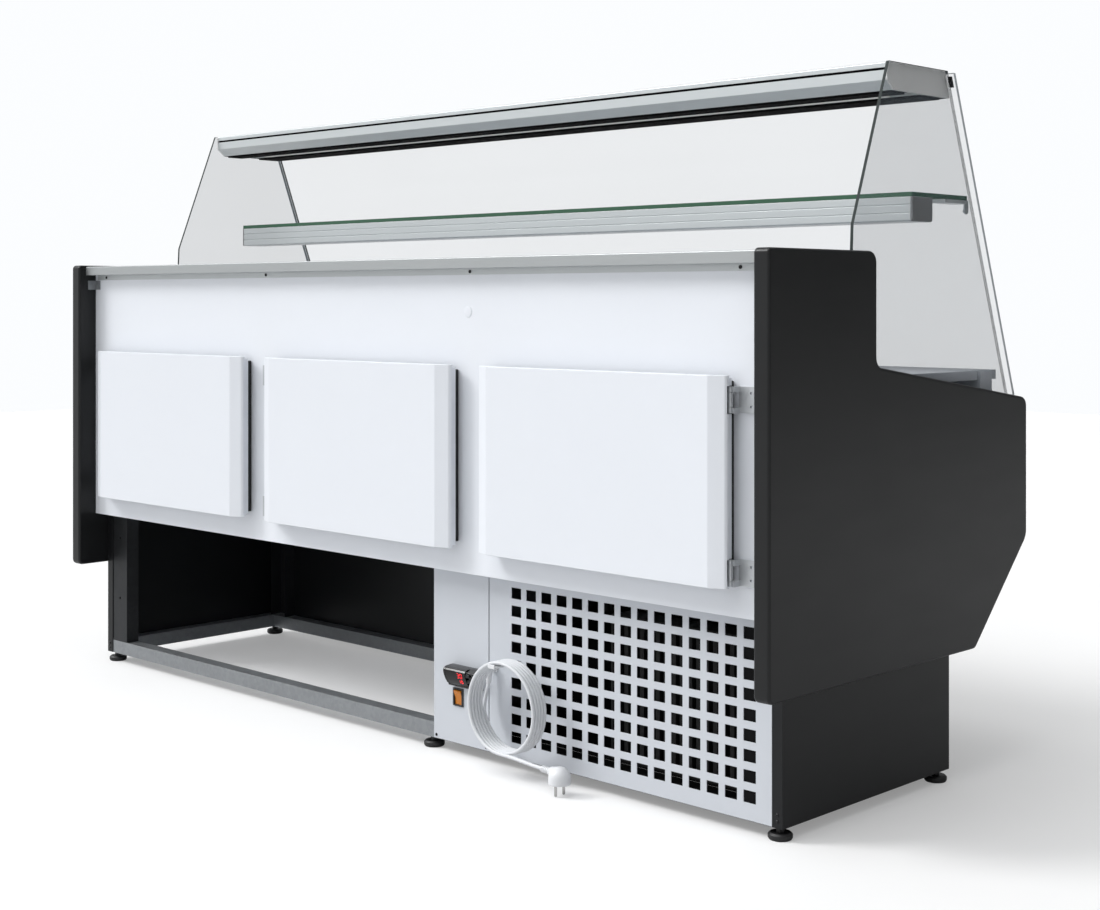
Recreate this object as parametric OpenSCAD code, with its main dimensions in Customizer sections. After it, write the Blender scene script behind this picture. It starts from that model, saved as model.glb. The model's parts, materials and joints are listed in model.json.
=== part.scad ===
// Refrigerated serve-over deli case, built as an assembly of separate pieces.
// X runs along the case, +Y is the staff side with the doors, -Y the customer side, +Z is up.
// The origin is on the floor, under the middle of the case. All lengths are in millimetres.

/* [Overall] */
// Length over both end panels
case_length = 1940; // [1600:10:2400]
// Depth of an end panel, from its nose to its rear edge
case_depth = 752; // [620:1:910]
// Height of the base, from the top of the feet to the underside of the tank
base_h = 314; // [260:1:380]
// Height of the rear wall, from the underside of the tank to the worktop
wall_h = 534; // [440:1:645]
// Height of the glass top above the end panels
glass_rise = 310; // [250:1:380]

/* [End panels] */
// Thickness of an end panel
end_panel_t = 30; // [18:1:40]
// Height of an end panel above the worktop
panel_lip = 3; // [0:1:10]
// Length of the high part of an end panel beside the worktop
panel_step = 281; // [240:1:340]
// How far an end panel hangs below the tank
panel_drop = 112; // [60:1:140]
// Height of the chin above the tank's underside
chin_rise = 62; // [40:1:80]

/* [Base] */
// Height of a foot
foot_h = 20; // [15:1:40]
// Radius of a foot pad
foot_r = 19; // [15:0.5:25]
// Radius of a foot's threaded stud
stud_r = 4; // [3:0.5:6]
// Depth of the base behind the wall's face
base_recess = 31; // [20:1:50]
// How far the nose overhangs the front of the base
nose_overhang = 210; // [180:1:260]
// Width of a frame rail
rail_w = 30; // [20:1:40]
// Height of a frame rail
rail_h = 28; // [20:1:40]
// Wall of the rails and posts
rail_t = 1.5; // [1:0.5:3]
// Width of a corner post
post_w = 55; // [40:1:70]
// Width of a post beside the machine compartment
mid_post_w = 40; // [30:1:50]
// Sheet thickness of the base panels
sheet_t = 1.5; // [1:0.5:2]
// Length of the machine compartment along the case
machine_w = 779; // [740:1:900]
// Width of the control panel
control_w = 143; // [130:1:180]

/* [Grille] */
// Columns of holes
grille_cols = 15; // [8:1:16]
// Rows of holes
grille_rows = 9; // [5:1:10]
// Width of a hole
grille_hole_w = 23.5; // [15:0.5:28]
// Height of a hole
grille_hole_h = 19; // [12:0.5:20]

/* [Tank] */
// Distance from the rear edge of the end panels to the wall's face
wall_recess = 42; // [30:1:60]
// Thickness of the foam
foam_t = 45; // [35:1:55]
// Thickness of the inner and outer skins
skin_t = 1; // [0.8:0.1:1.5]
// Thickness of the fascia boards
fascia_t = 16; // [12:1:19]
// Distance from the nose to the fascia
fascia_recess = 10; // [5:1:20]
// Height of the glass sill above the tank's underside
sill_rise = 311; // [290:1:330]
// Height of the display deck above the sill
deck_rise = 45; // [35:1:60]

/* [Doors] */
// Height of a door
door_h = 320; // [270:1:330]
// Distance from an end panel to the nearest door
door_margin = 58; // [55:1:90]
// Gap between two doors
door_gap = 72; // [66:1:100]
// Distance from the wall's foot to the doors
door_foot = 46; // [40:1:60]
// Width of the wall's rim that a door's edge covers
door_lap = 20; // [18:1:30]
// Thickness of a door's seal
seal_t = 11.7; // [8:0.1:14]
// Opening angle of a door
door_open = 100; // [90:1:110]

/* [Hinges] */
// Height of a hinge
hinge_h = 40; // [32:1:60]
// Radius of a hinge pin
pin_r = 2; // [1.5:0.5:2.5]
// Radius of a hinge knuckle
knuckle_r = 4.5; // [4:0.5:5]

/* [Worktop] */
// Thickness of the worktop
worktop_t = 19; // [15:1:30]
// Depth of the worktop
worktop_d = 237; // [200:1:260]
// Distance from the worktop's rear edge to the rear edge of the end panels
worktop_recess = 17; // [10:1:25]

/* [Glass and shelf] */
// Thickness of the glass
glass_t = 6; // [4:1:8]
// Run of the front glass for each millimetre of height
glass_slope = 0.36; // [0.3:0.01:0.42]
// Depth of the canopy
canopy_d = 178; // [150:1:220]
// Height of the canopy
canopy_h = 45; // [35:1:60]
// Height of the shelf glass's underside above the end panels
shelf_rise = 94; // [70:1:130]
// Thickness of the shelf glass
shelf_t = 8; // [6:1:10]
// Depth of the shelf glass
shelf_d = 174; // [140:1:190]
// Height of the shelf's front profile
shelf_profile_h = 41; // [30:1:50]
// Depth of the shelf's front profile
shelf_profile_d = 62; // [45:1:70]

/* [Controls] */
// Width of the controller's bezel
controller_w = 79; // [70:1:85]
// Height of the controller's bezel
controller_h = 37; // [32:1:42]
// How far the controller's bezel stands off the panel
controller_d = 24; // [12:1:28]
// Travel of a button
button_travel = 1; // [0.5:0.1:1.5]
// Width of the switch's bezel
switch_w = 26; // [22:1:30]
// Height of the switch's bezel
switch_h = 32; // [28:1:36]
// Swing of the rocker, from on to off
rocker_swing = 24; // [16:1:26]

/* [Hidden] */

$fn = 48;
cut = 1;                // how far a cutting shape runs past a face
gap = 0.3;              // space between pieces that move past each other
running = 0.05;         // radial clearance of a turning fit

white = "#e6eaee";
satin_black = "#26282a";
galvanised = "#8c9094";
steel = "#cdd2d2";
aluminium = "#bec5c6";
cap_grey = "#a5a5a3";
glass = "#bcd8cc";
copper = "#b87345";
foam = "#e8d9a8";

// Heights, from the floor up
base_z = foot_h;
body_z = base_z + base_h;
wall_top = body_z + wall_h;
worktop_z = wall_top + worktop_t;
panel_top = worktop_z + panel_lip;
top_z = panel_top + glass_rise;
sill_z = body_z + sill_rise;
deck_z = sill_z + deck_rise;
rail_top = base_z + rail_h;

// Places along the depth
rear_y = case_depth / 2;
nose_y = -rear_y;
wall_y = rear_y - wall_recess;
base_rear_y = wall_y - base_recess;
base_front_y = nose_y + nose_overhang;
frame_rear_y = base_rear_y - sheet_t;
frame_front_y = base_front_y + sheet_t;
worktop_rear_y = rear_y - worktop_recess;
worktop_front_y = worktop_rear_y - worktop_d;
foam_in_y = wall_y - skin_t - foam_t;

// Places along the length
inner_x = case_length / 2 - end_panel_t;
frame_x = inner_x - sheet_t;
machine_x = machine_w - inner_x;
flange = 20;            // return flange of a base side panel
control_x = machine_x - control_w;
seam = 2;               // gap between the control panel and the grille panel

// Corner arcs: each outline point is [x, y, radius], and a radius of 0 keeps it sharp
arc_steps = 8;
function unit(v) = v / norm(v);
function corner(a, b, c, r) =
    let (u = unit(a - b), v = unit(c - b), half = acos(u * v) / 2,
        centre = b + unit(u + v) * r / sin(half),
        p = b + u * r / tan(half) - centre, q = b + v * r / tan(half) - centre,
        start = atan2(p.y, p.x), turn = (atan2(q.y, q.x) - start + 540) % 360 - 180)
    [for (i = [0:arc_steps]) let (a = start + turn * i / arc_steps) centre + r * [cos(a), sin(a)]];
function flat(p) = [p.x, p.y];
function rounded(points) = [for (i = [0:len(points) - 1])
    let (n = len(points), a = points[(i + n - 1) % n], b = points[i], c = points[(i + 1) % n])
    each b[2] > 0 ? corner(flat(a), flat(b), flat(c), b[2]) : [flat(b)]];

module block(low, high) { translate(low) cube(high - low); }
module along_x(x0, x1) { translate([x0, 0, 0]) rotate([90, 0, 90]) linear_extrude(x1 - x0) children(); }
module along_y(y0, y1) { translate([0, y1, 0]) rotate([90, 0, 0]) linear_extrude(y1 - y0) children(); }
module rod_x(x0, x1, y, z, r) { translate([x0, y, z]) rotate([0, 90, 0]) cylinder(r = r, h = x1 - x0); }
module rod_y(x, y0, y1, z, r) { translate([x, y0, z]) rotate([-90, 0, 0]) cylinder(r = r, h = y1 - y0); }
module both_ends() {
    children();
    mirror([1, 0, 0]) children();
}
// A sheet or slab seen from behind, between two corners [x, z], from y0 to y1
module wall_plate(low, high, y0, y1) { block([low.x, y0, low.y], [high.x, y1, high.y]); }

// ---- Base ----

foot_y_rear = frame_rear_y - rail_w / 2;
foot_y_front = frame_front_y + rail_w / 2;
foot_x = frame_x - rail_w / 2;
foot_x_middle = machine_x + 17;
feet = [[foot_x, foot_y_rear], [foot_x_middle, foot_y_rear], [-foot_x, foot_y_rear],
    [foot_x, foot_y_front], [-foot_x, foot_y_front]];
stud_rise = rail_h - rail_t - 3;      // how far a stud stands inside its rail

module rail_along_x(y0) {
    difference() {
        block([-frame_x, y0, base_z], [frame_x, y0 + rail_w, rail_top]);
        block([-frame_x - cut, y0 + rail_t, base_z + rail_t],
            [frame_x + cut, y0 + rail_w - rail_t, rail_top - rail_t]);
        for (foot = feet)
            translate([foot.x, foot.y, base_z - cut]) cylinder(r = stud_r + running, h = rail_t + 2 * cut);
    }
}
module rail_along_y(x0) {
    y0 = frame_front_y + rail_w;
    y1 = frame_rear_y - rail_w;
    difference() {
        block([x0, y0, base_z], [x0 + rail_w, y1, rail_top]);
        block([x0 + rail_t, y0 - cut, base_z + rail_t], [x0 + rail_w - rail_t, y1 + cut, rail_top - rail_t]);
    }
}
// A channel post with its web on the outside and two bolt holes in the web
bolt_r = 3;
bolt_heights = [0.34, 0.81];          // along the post
module post(x0, web_y, inward, w) {
    post_h = body_z - rail_top;
    difference() {
        translate([x0, web_y, rail_top]) mirror([0, inward < 0 ? 1 : 0, 0]) linear_extrude(post_h)
            difference() {
                square([w, rail_w]);
                translate([rail_t, rail_t]) square([w - 2 * rail_t, rail_w]);
            }
        for (share = bolt_heights)
            rod_y(x0 + w / 2, web_y - rail_w / 4, web_y + rail_w / 4, rail_top + share * post_h, bolt_r);
    }
}
post_inset = flange + rail_t - 0.5;
partition_x = machine_x - 9;
module base_frame() {
    color(galvanised) {
        rail_along_x(frame_rear_y - rail_w);
        rail_along_x(frame_front_y);
        rail_along_y(-frame_x);
        rail_along_y(frame_x - rail_w);
        rail_along_y(partition_x - rail_w / 2);
        for (x0 = [inner_x - post_inset - post_w, post_inset - inner_x]) {
            post(x0, frame_rear_y, -1, post_w);
            post(x0, frame_front_y, 1, post_w);
        }
        post(machine_x - sheet_t - mid_post_w, frame_rear_y, -1, mid_post_w);
        post(machine_x - sheet_t - mid_post_w, frame_front_y, 1, mid_post_w);
    }
}
module base_panels() {
    color(satin_black) {
        both_ends() translate([0, 0, base_z]) linear_extrude(base_h) difference() {
            translate([inner_x - flange, base_front_y]) square([flange, base_rear_y - base_front_y]);
            translate([inner_x - flange - cut, frame_front_y])
                square([flange + cut - sheet_t, frame_rear_y - frame_front_y]);
        }
        wall_plate([flange - inner_x, base_z], [inner_x - flange, body_z], base_front_y, frame_front_y);
    }
}
module partition_panel() {
    color(galvanised) block([partition_x, frame_front_y + rail_w, rail_top],
        [partition_x + sheet_t, frame_rear_y - rail_w, body_z]);
}

// Controls on the control panel, measured from the machine compartment's edge
controller_x = machine_x - 90.5;
controller_z = base_z + 123.5;
controller_cut = [71, 29];
switch_x = machine_x - 66;
switch_z = base_z + 84;
switch_body = [22, 28];
panel_foot = base_z + 1;
panel_head = body_z - 0.5;
fold = 22;              // return fold of the control panel
module controller_panel() {
    color(white) difference() {
        union() {
            wall_plate([control_x, panel_foot], [machine_x, panel_head], frame_rear_y, base_rear_y);
            block([machine_x - sheet_t, base_rear_y - fold, rail_top], [machine_x, base_rear_y, panel_head]);
        }
        along_y(frame_rear_y - cut, base_rear_y + cut) {
            translate([controller_x, controller_z]) square(controller_cut, center = true);
            translate([switch_x, switch_z]) square(switch_body, center = true);
        }
    }
}
grille_x0 = flange - inner_x;
grille_x1 = control_x - seam;
grille_sides = [30.25, 55.25];        // plain border beside the first and the last column
grille_ends = [26.5, 18];             // plain border under the lowest row and over the top one
gland_x = grille_x1 - 14;
gland_z = base_z + 152;
gland_r = 6;
function spread(low, high, size, count, i) = low + (high - low - size) * i / (count - 1);
module grille_panel() {
    color(white) along_y(frame_rear_y, base_rear_y) difference() {
        translate([grille_x0, panel_foot]) square([grille_x1 - grille_x0, panel_head - panel_foot]);
        for (i = [0:grille_cols - 1], j = [0:grille_rows - 1])
            translate([
                spread(grille_x0 + grille_sides[0], grille_x1 - grille_sides[1], grille_hole_w, grille_cols, i),
                spread(panel_foot + grille_ends[0], panel_head - grille_ends[1], grille_hole_h, grille_rows, j)
            ]) square([grille_hole_w, grille_hole_h]);
        translate([gland_x, gland_z]) circle(r = gland_r);
    }
}
foot_pad = 0.55;        // share of a foot's height that is its pad
module foot(i) {
    color("#1c1c1e") translate([feet[i].x, feet[i].y, 0]) {
        rotate_extrude() polygon([[0, 0], [foot_r - 2, 0], [foot_r, 3], [foot_r, foot_h * foot_pad - 3],
            [foot_r - 3, foot_h * foot_pad], [0, foot_h * foot_pad]]);
        cylinder(r = stud_r + 3, h = foot_h, $fn = 6);
        cylinder(r = stud_r, h = foot_h + stud_rise);
    }
}

// ---- End panels ----

nose_z = sill_z - 4;
slope_top = sill_z + 63;
module end_panel() {
    foot_z = body_z - panel_drop;
    along_x(inner_x, inner_x + end_panel_t) polygon(rounded([
        [rear_y, panel_top, 8],
        [rear_y - panel_step, panel_top, 18],
        [rear_y - panel_step, slope_top, 18],
        [nose_y, nose_z, 17],
        [nose_y, chin_z, 30],
        [nose_y + chin_z - foot_z, foot_z, 15],
        [rear_y, foot_z, 11]]));
}

// ---- Tank ----

door_pitch = (2 * inner_x - 2 * door_margin + door_gap) / 3;
door_w = door_pitch - door_gap;
door_z = body_z + door_foot;
door_xs = [door_pitch, 0, -door_pitch];
door_sides = [1, 1, -1];              // the side of each door that carries its hinges
mouth_w = door_w - 2 * door_lap;
mouth_h = door_h - 2 * door_lap;
mouth_z = door_z + door_lap;
module door_mouths(grow, y0, y1) {
    for (x = door_xs)
        wall_plate([x - mouth_w / 2 - grow, mouth_z - grow], [x + mouth_w / 2 + grow, mouth_z + mouth_h + grow],
            y0, y1);
}
fascia_y = nose_y + fascia_recess;
fascia_in_y = fascia_y + fascia_t;
chin_z = body_z + chin_rise;
bevel_in = fascia_t * tan(22.5);      // where the two fascia boards' inner faces meet
floor_z = body_z + skin_t;
tank_floor = floor_z + foam_t;
front_foam_y = fascia_in_y + foam_t - 5;
end_foam_t = 25;
sill_step = 13;         // from the sill down to the top of the front foam and the liner
liner_x = inner_x - end_foam_t;
// The inner face of the slanted board at a height z
function slant_y(z) = fascia_in_y + (chin_z + bevel_in - z);
pipe_xs = [50 - inner_x, 65 - inner_x];
pipe_ys = [foam_in_y - 26, foam_in_y - 48];
pipe_rs = [6, 3];
module pipe_holes(z0, z1) {
    for (i = [0:1]) translate([pipe_xs[i], pipe_ys[i], z0]) cylinder(r = pipe_rs[i] + 2, h = z1 - z0);
}
module rear_skin() {
    color(white) difference() {
        union() {
            wall_plate([-inner_x, body_z], [inner_x, wall_top], wall_y - skin_t, wall_y);
            block([-inner_x, slant_y(body_z), body_z], [inner_x, wall_y, floor_z]);
            door_mouths(0, foam_in_y, wall_y);
        }
        door_mouths(-skin_t, foam_in_y - cut, wall_y + cut);
        pipe_holes(body_z - cut, floor_z + cut);
    }
}
module insulation() {
    color(foam) {
        wall_plate([-inner_x, mouth_z + mouth_h], [inner_x, wall_top], foam_in_y, wall_y - skin_t);
        wall_plate([-inner_x, floor_z], [inner_x, mouth_z], foam_in_y, wall_y - skin_t);
        for (x = [door_pitch / 2, -door_pitch / 2])
            wall_plate([x - (door_pitch - mouth_w) / 2, mouth_z], [x + (door_pitch - mouth_w) / 2, mouth_z + mouth_h],
                foam_in_y, wall_y - skin_t);
        both_ends() {
            wall_plate([door_pitch + mouth_w / 2, mouth_z], [inner_x, mouth_z + mouth_h], foam_in_y, wall_y - skin_t);
            block([liner_x, front_foam_y, tank_floor], [inner_x, foam_in_y, sill_z]);
            block([liner_x, worktop_front_y, sill_z], [inner_x, foam_in_y, wall_top]);
        }
        difference() {
            along_x(-inner_x, inner_x) polygon([[slant_y(floor_z), floor_z], [foam_in_y, floor_z],
                [foam_in_y, tank_floor], [slant_y(tank_floor), tank_floor]]);
            pipe_holes(floor_z - cut, tank_floor + cut);
        }
        along_x(-inner_x, inner_x) polygon([[slant_y(tank_floor), tank_floor], [front_foam_y, tank_floor],
            [front_foam_y, sill_z - sill_step], [fascia_in_y, sill_z - sill_step], [fascia_in_y, chin_z + bevel_in]]);
    }
}
module tank_liner() {
    color(steel) difference() {
        block([-liner_x, front_foam_y, tank_floor], [liner_x, foam_in_y, wall_top]);
        block([skin_t - liner_x, front_foam_y + skin_t, tank_floor + skin_t],
            [liner_x - skin_t, foam_in_y - skin_t, wall_top + cut]);
        block([-liner_x - cut, front_foam_y - cut, sill_z - sill_step], [liner_x + cut, worktop_front_y, wall_top + cut]);
        door_mouths(-skin_t, foam_in_y - skin_t - cut, foam_in_y + cut);
        pipe_holes(tank_floor - cut, tank_floor + skin_t + cut);
    }
}
module front_fascia() {
    fascia_foot = body_z - panel_drop + 4;
    color(satin_black) along_x(-inner_x, inner_x) polygon([
        [fascia_y, sill_z], [fascia_y, chin_z], [fascia_y + chin_z - fascia_foot, fascia_foot],
        [slant_y(fascia_foot), fascia_foot], [fascia_in_y, chin_z + bevel_in], [fascia_in_y, sill_z]]);
}

// ---- Display ----

deck_rail_h = deck_rise - sheet_t;
glass_in_x = inner_x - glass_t;
glass_run = glass_t * sqrt(1 + glass_slope * glass_slope);
glass_top = top_z - 4;
glass_foot_y = fascia_y - 2;
// The front glass's inner face at a height z
function glass_y(z) = glass_foot_y + glass_run + glass_slope * (z - sill_z);
deck_front_y = glass_y(deck_z) + 6;
deck_rail_d = 40;
front_rail_y = front_foam_y - 8;
rear_rail_y = worktop_front_y - 22;
tray_lip = 15;
module rail_under_deck(half_l, y) {
    block([-half_l, y, sill_z], [half_l, y + deck_rail_d, sill_z + deck_rail_h]);
}
module deck_rails() {
    color(galvanised) {
        rail_under_deck(glass_in_x, front_rail_y);
        rail_under_deck(liner_x - skin_t, rear_rail_y);
    }
}
tray_count = 4;
module deck_trays() {
    tray_pitch = 2 * (glass_in_x - 4) / tray_count;
    color(steel) {
        for (i = [0:tray_count - 1]) translate([(i - (tray_count - 1) / 2) * tray_pitch, 0, 0])
            difference() {
                block([1 - tray_pitch / 2, deck_front_y, deck_z - sheet_t - tray_lip],
                    [tray_pitch / 2 - 1, worktop_front_y - 3, deck_z]);
                block([1 + sheet_t - tray_pitch / 2, deck_front_y + sheet_t, deck_z - sheet_t - tray_lip - cut],
                    [tray_pitch / 2 - 1 - sheet_t, worktop_front_y - 3 - sheet_t, deck_z - sheet_t]);
                // the lips stop at the rails that carry the tray
                for (y = [front_rail_y, rear_rail_y])
                    block([-tray_pitch / 2, y - cut, deck_z - sheet_t - tray_lip - cut],
                        [tray_pitch / 2, y + deck_rail_d + cut, deck_z - sheet_t]);
            }
        difference() {
            block([skin_t - liner_x, worktop_front_y - 1, deck_z - sheet_t],
                [liner_x - skin_t, foam_in_y - skin_t, deck_z + tray_lip]);
            block([skin_t + sheet_t - liner_x, worktop_front_y - 1 + sheet_t, deck_z],
                [liner_x - skin_t - sheet_t, foam_in_y - skin_t - sheet_t, deck_z + tray_lip + cut]);
            pipe_holes(deck_z - sheet_t - cut, deck_z + cut);
        }
    }
}
cool_h = wall_top - deck_z;           // height of the space under the worktop
cool_z = deck_z + cool_h / 2;
cover_y = worktop_front_y + sheet_t;
cool_fan_x = inner_x / 4;
cool_fan_r = cool_h / 2 - 20;
module evaporator_cover() {
    color(white) along_y(cover_y, cover_y + sheet_t) difference() {
        translate([skin_t + sheet_t - liner_x, deck_z]) square([2 * (liner_x - skin_t - sheet_t), cool_h]);
        translate([cool_fan_x, cool_z]) circle(r = cool_fan_r + 3);
        for (i = [0:9]) translate([-liner_x + 80 + 70 * i, cool_z]) square([50, 8], center = true);
    }
}
wrap_t = 1;             // sheet that wraps the worktop's board
module worktop() {
    color(steel) along_x(-inner_x, inner_x) difference() {
        polygon(rounded([[worktop_front_y, wall_top, 0], [worktop_rear_y, wall_top, 0],
            [worktop_rear_y, worktop_z, 2], [worktop_front_y, worktop_z, 2]]));
        translate([worktop_front_y + wrap_t, wall_top - cut])
            square([worktop_d - 2 * wrap_t, worktop_t - wrap_t + cut]);
    }
}
module worktop_board() {
    color("tan") block([-inner_x, worktop_front_y + wrap_t, wall_top],
        [inner_x, worktop_rear_y - wrap_t, worktop_z - wrap_t]);
}
strip_h = 11;
strip_t = 4;
strip_x = inner_x - 15;
strip_screws = [298, -294, 52 - inner_x, inner_x - 52];
screw_r = 3;
module worktop_strip() {
    color(steel) difference() {
        wall_plate([-strip_x, wall_top - strip_h], [strip_x, wall_top], wall_y, wall_y + strip_t);
        for (x = strip_screws) rod_y(x, wall_y - cut, wall_y + strip_t + cut, wall_top - strip_h / 2, screw_r - 1);
    }
}
bracket = 20;           // leaf of a corner bracket
bracket_t = 2;
module fixings() {
    color("#3a3c3e") {
        both_ends() translate([inner_x, wall_y, wall_top - strip_h - 1 - bracket]) difference() {
            union() {
                block([-bracket_t, 0, 0], [0, bracket, bracket]);
                block([-bracket, 0, 0], [0, bracket_t, bracket]);
            }
            rod_y(-bracket * 0.6, -cut, bracket_t + cut, bracket / 2, screw_r - 1);
        }
        for (x = strip_screws) screw(x, wall_y, wall_y + strip_t, wall_top - strip_h / 2);
        both_ends() screw(inner_x - bracket * 0.6, wall_y, wall_y + bracket_t, wall_top - strip_h - 1 - bracket / 2);
    }
}
module screw(x, y0, y1, z) {
    rod_y(x, y0, y1, z, screw_r - 1 - running);
    rod_y(x, y1, y1 + 1.2, z, screw_r);
}

// ---- Glass, canopy and shelf ----

canopy_front = glass_y(top_z);
canopy_rear = canopy_front + canopy_d - 4;
canopy_foot = top_z - canopy_h;
cap_t = 4;              // thickness of an end cap
cap_x = glass_in_x - cap_t;
module side_glasses() {
    color(glass, 0.5) both_ends() along_x(glass_in_x, inner_x) polygon([
        [worktop_front_y - 3, sill_z], [worktop_front_y - 3, panel_top], [worktop_front_y - 5, panel_top + 42],
        [canopy_rear + 4, top_z], [canopy_front, top_z], [glass_y(sill_z), sill_z]]);
}
glass_lap = 10;         // how far the front glass runs past the side glasses
module front_glass() {
    color(glass, 0.5) along_x(-inner_x - glass_lap, inner_x + glass_lap) polygon([
        [glass_y(sill_z) - glass_run, sill_z], [glass_y(sill_z), sill_z],
        [glass_y(glass_top), glass_top], [glass_y(glass_top) - glass_run, glass_top]]);
}
lamp_w = 40;
lamp_h = 12;
lamp_y = (canopy_front + canopy_rear) / 2;
module canopy_outline() {
    polygon([[canopy_rear, canopy_foot + 15], [canopy_rear, top_z - 2], [canopy_rear - 2, top_z],
        [canopy_front, top_z], [glass_y(canopy_foot + 6), canopy_foot + 6], [glass_y(canopy_foot + 6), canopy_foot],
        [canopy_rear - 18, canopy_foot], [canopy_rear - 14, canopy_foot + 5]]);
}
module canopy_profile() {
    color(aluminium) along_x(-cap_x, cap_x) difference() {
        canopy_outline();
        translate([lamp_y - lamp_w / 2, canopy_foot - cut]) square([lamp_w, lamp_h + cut]);
        // the shadow groove along the rear face
        translate([canopy_rear - 3, top_z - 13]) square([3 + cut, 3]);
    }
}
module canopy_lamp() {
    color("#f4f4ee") along_x(60 - cap_x, cap_x - 60) translate([lamp_y - lamp_w / 2, canopy_foot])
        square([lamp_w, lamp_h]);
}
shelf_z = panel_top + shelf_rise;
shelf_rear = canopy_rear - 74;
shelf_x = glass_in_x - 1;
module shelf_glass() {
    color(glass, 0.7) block([-shelf_x, shelf_rear - shelf_d, shelf_z], [shelf_x, shelf_rear, shelf_z + shelf_t]);
}
module shelf_outline() {
    polygon(rounded([[shelf_rear, shelf_z - shelf_profile_h, 3], [shelf_rear, shelf_z, 0],
        [shelf_rear - shelf_profile_d, shelf_z, 0],
        [shelf_rear - shelf_profile_d, shelf_z - shelf_profile_h, 6]]));
}
groove = 1.5;
module shelf_profile() {
    color(aluminium) along_x(-cap_x, cap_x) difference() {
        shelf_outline();
        for (i = [1:2]) translate([shelf_rear - groove, shelf_z - i * shelf_profile_h / 3])
            square([groove + cut, groove]);
    }
}
module profile_end_caps() {
    color(cap_grey) both_ends() {
        along_x(cap_x, glass_in_x) canopy_outline();
        along_x(cap_x, glass_in_x) shelf_outline();
    }
}
arm_h = 6;
arm_d = 75;
arm_w = 30;             // how far a bracket reaches under the shelf glass
tab_y = shelf_rear - shelf_d + 1;
module shelf_brackets() {
    color(aluminium) both_ends() {
        block([glass_in_x - arm_w, tab_y - 4, shelf_z - arm_h], [glass_in_x, tab_y - 4 + arm_d, shelf_z]);
        block([glass_in_x - 3, tab_y - 4, shelf_z - 18], [glass_in_x, tab_y + 8, shelf_z - arm_h]);
        rod_x(glass_in_x - 3, glass_in_x, tab_y + 2, shelf_z - 18, 6);
        rod_x(glass_in_x - 6, glass_in_x - 3, tab_y + 2, shelf_z - 18, 3.5);
    }
}

// ---- Doors and hinges ----

seal_y = wall_y + gap;
pan_y = seal_y + seal_t;              // back of a door
skin_y = pan_y + 11;                  // back of a door's outer skin
edge_y = skin_y + 8;                  // front of the outer skin at a door's sides
crown_y = edge_y + 9;                 // front of the outer skin between its creases
crease = 29;
pan_inset = 4;
hinge_in = 4;                         // from a door's edge to its hinge axis
hinge_y = wall_y + 16;
notch_d = 16;
notch_slack = 1;
notch_skin = 3;         // what a hinge notch leaves of a door's front skin
hinge_zs = [door_z + 3, door_z + door_h - 3 - hinge_h - 14];
function hinge_x(i) = door_xs[i] + door_sides[i] * (door_w / 2 - hinge_in);
module door(i) {
    color(white) translate([door_xs[i], 0, 0]) difference() {
        union() {
            translate([0, 0, door_z]) linear_extrude(door_h) polygon([
                [-door_w / 2, skin_y], [door_w / 2, skin_y], [door_w / 2, edge_y - 3], [door_w / 2 - 3, edge_y],
                [door_w / 2 - crease, crown_y], [crease - door_w / 2, crown_y],
                [3 - door_w / 2, edge_y], [-door_w / 2, edge_y - 3]]);
            wall_plate([pan_inset - door_w / 2, door_z + pan_inset],
                [door_w / 2 - pan_inset, door_z + door_h - pan_inset], pan_y, skin_y);
        }
        for (z = hinge_zs) scale_x(door_sides[i])
            block([door_w / 2 - notch_d, pan_y - cut, z - notch_slack],
                [door_w / 2 + cut, edge_y - notch_skin, z + hinge_h + notch_slack]);
    }
}
module scale_x(side) { mirror([side < 0 ? 1 : 0, 0, 0]) children(); }
seal_inset = 9;
module seal(i) {
    color("#1a1a1c") translate([door_xs[i], 0, 0]) difference() {
        wall_plate([seal_inset - door_w / 2, door_z + seal_inset],
            [door_w / 2 - seal_inset, door_z + door_h - seal_inset], seal_y, pan_y);
        wall_plate([door_lap - 1 - door_w / 2, door_z + door_lap - 1],
            [door_w / 2 - door_lap + 1, door_z + door_h - door_lap + 1], seal_y - cut, pan_y + cut);
    }
}
// Hinge leaves are drawn about the pin's axis, with the door towards -X and the wall towards -Y
knuckle_h = hinge_h * 0.21;
leaf_t = 3;
wall_gap = hinge_y - wall_y;
module frame_leaf() {
    difference() {
        union() {
            block([hinge_in + 2, -wall_gap, 0], [hinge_in + 40, leaf_t - wall_gap, hinge_h]);
            for (z = [0, hinge_h - knuckle_h]) {
                block([hinge_in + 1.5, -wall_gap, z], [hinge_in + 5, leaf_t, z + knuckle_h]);
                block([0, 0, z], [hinge_in + 5, leaf_t, z + knuckle_h]);
                translate([0, 0, z]) cylinder(r = knuckle_r, h = knuckle_h);
            }
            cylinder(r = pin_r, h = hinge_h);
        }
        for (z = [hinge_h * 0.25, hinge_h * 0.75])
            rod_y(hinge_in + 25, -wall_gap - cut, leaf_t - wall_gap + cut, z, 2);
    }
}
module door_leaf() {
    difference() {
        union() {
            translate([0, 0, knuckle_h + gap]) cylinder(r = knuckle_r, h = hinge_h - 2 * knuckle_h - 2 * gap);
            block([hinge_in - notch_d, 0, knuckle_h + gap], [0, leaf_t, hinge_h - knuckle_h - gap]);
            block([hinge_in - notch_d, -hinge_in, 2], [hinge_in - notch_d + leaf_t - 0.5, 11, hinge_h - 2]);
        }
        translate([0, 0, -cut]) cylinder(r = pin_r + running, h = hinge_h + 2 * cut);
    }
}
module at_hinges(i) {
    for (z = hinge_zs) translate([hinge_x(i), hinge_y, z]) scale_x(door_sides[i]) children();
}
module hinge_leaves(i) { color(steel) at_hinges(i) door_leaf(); }
module hinge_frame_leaves() {
    color(steel) for (i = [0:2]) at_hinges(i) frame_leaf();
}

// ---- Cooling machinery ----

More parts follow.
